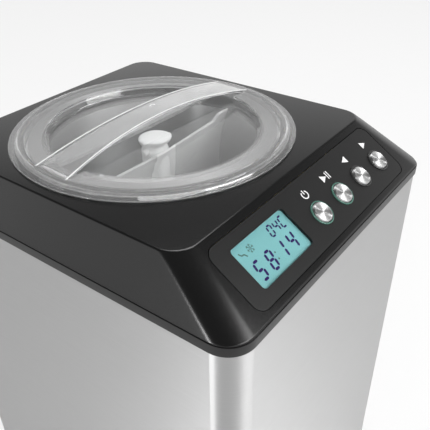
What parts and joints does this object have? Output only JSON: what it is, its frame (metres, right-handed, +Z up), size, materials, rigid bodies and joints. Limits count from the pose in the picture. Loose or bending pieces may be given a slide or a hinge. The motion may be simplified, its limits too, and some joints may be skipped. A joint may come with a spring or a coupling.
{
  "type": "ice cream maker",
  "caption": "Upright compressor ice cream maker: brushed steel case, black sloped top with display and buttons, clear lid over a lift-out bowl and paddle.",
  "frame": {"origin": "on the ground under the middle of the footprint", "axes": "+Z up, +X to the user's right, -Y towards the user at the control panel"},
  "size_m": [0.241, 0.279, 0.3557],
  "materials": {
    "brushed_steel": "vertical brushed",
    "black_plastic": "satin moulded",
    "dark_plate": "fine matt",
    "clear_window": "clear",
    "lcd": "backlit display",
    "white_plastic": "moulded",
    "paddle_plastic": "food-safe satin",
    "circuit": "laminate",
    "spun_metal": "spun face",
    "lit_ring": "translucent",
    "dark_ring": "dark translucent",
    "clear_lid": "clear moulded",
    "bowl_steel": "brushed with a polished neck",
    "rubber": "matt",
    "aluminium": "drawn",
    "copper": "drawn tube",
    "foam": "foamed block",
    "zinc_steel": "zinc plated",
    "fastener": "plated",
    "bronze": "sintered",
    "gear_plastic": "moulded",
    "compressor_black": "gloss enamel",
    "motor_steel": "plain"
  },
  "bodies": {
    "housing": {"steel_casing": "brushed_steel", "top_cover": "black_plastic", "control_plate": "dark_plate", "display_window": "clear_window", "lcd_panel": "lcd", "lcd_frame": "white_plastic", "control_board": "circuit", "tact_switches": "black_plastic", "light_rings": "lit_ring", "trim_rings": "dark_ring", "chamber_gasket": "rubber", "chamber_cup": "aluminium", "evaporator_coil": "copper", "insulation": "foam", "temperature_probe": "fastener", "shelf_plate": "zinc_steel", "cover_posts": "zinc_steel", "cover_screws": "fastener", "upper_bush": "bronze", "lower_bush": "bronze", "shaft_seal": "rubber", "motor_bracket": "zinc_steel", "drive_motor": "motor_steel", "motor_screws": "fastener", "compressor": "compressor_black", "terminal_cover": "black_plastic", "compressor_mounts": "rubber", "compressor_bolts": "fastener", "condenser": "aluminium", "fan_frame": "black_plastic", "fan_screws": "fastener", "filter_drier": "copper", "capillary_tube": "copper", "suction_pipe": "copper", "discharge_pipe": "copper", "liquid_pipe": "copper", "power_board": "circuit", "board_standoffs": "white_plastic", "power_inlet": "black_plastic", "rear_cover": "black_plastic", "rear_screws": "fastener", "base_plate": "black_plastic", "feet": "rubber", "base_screws": "fastener", "ribbon_cable": "white_plastic"},
    "lid_seal": {"lid_seal": "rubber"},
    "lid": {"lid": "clear_lid"},
    "bowl": {"bowl": "bowl_steel"},
    "paddle": {"paddle": "paddle_plastic"},
    "drive": {"drive_shaft": "fastener", "shaft_clip": "fastener", "drive_gear": "gear_plastic"},
    "pinion": {"motor_pinion": "bronze"},
    "fan": {"fan_rotor": "black_plastic"},
    "power_button": {"power_button": "spun_metal"},
    "start_button": {"start_button": "spun_metal"},
    "left_button": {"left_button": "spun_metal"},
    "right_button": {"right_button": "spun_metal"}
  },
  "joints": [
    {"name": "bowl_lift", "type": "slide", "parent": "housing", "child": "bowl", "axis": [0, 0, 1], "range_m": [0, 0.16]},
    {"name": "lid_lift", "type": "slide", "parent": "bowl", "child": "lid_seal", "axis": [0, 0, 1], "range_m": [0, 0.12]},
    {"name": "lid_turn", "type": "hinge", "parent": "lid_seal", "child": "lid", "pos_m": [0, 0.015, 0.34], "axis": [0, 0, 1], "range_deg": [0, 25]},
    {"name": "drive_spin", "type": "hinge", "parent": "housing", "child": "drive", "pos_m": [0, 0.015, 0.17], "axis": [0, 0, 1], "continuous": true},
    {"name": "paddle_spin", "type": "hinge", "parent": "bowl", "child": "paddle", "pos_m": [0, 0.015, 0.25], "axis": [0, 0, 1], "continuous": true},
    {"name": "pinion_spin", "type": "hinge", "parent": "housing", "child": "pinion", "pos_m": [0, -0.04515, 0.17], "axis": [0, 0, 1], "continuous": true},
    {"name": "fan_spin", "type": "hinge", "parent": "housing", "child": "fan", "pos_m": [0.059, 0.0823, 0.07], "axis": [0, 1, 0], "continuous": true},
    {"name": "power_press", "type": "slide", "parent": "housing", "child": "power_button", "axis": [0, 0.5417, -0.8406], "range_m": [0, 0.0012], "stiffness_N_per_m": 500, "springref_m": -0.0004},
    {"name": "start_press", "type": "slide", "parent": "housing", "child": "start_button", "axis": [0, 0.5417, -0.8406], "range_m": [0, 0.0012], "stiffness_N_per_m": 500, "springref_m": -0.0004},
    {"name": "left_press", "type": "slide", "parent": "housing", "child": "left_button", "axis": [0, 0.5417, -0.8406], "range_m": [0, 0.0012], "stiffness_N_per_m": 500, "springref_m": -0.0004},
    {"name": "right_press", "type": "slide", "parent": "housing", "child": "right_button", "axis": [0, 0.5417, -0.8406], "range_m": [0, 0.0012], "stiffness_N_per_m": 500, "springref_m": -0.0004}
  ],
  "couplings": [
    {"joint": "paddle_spin", "follows": "drive_spin", "ratio": 1},
    {"joint": "pinion_spin", "follows": "drive_spin", "ratio": -4}
  ]
}
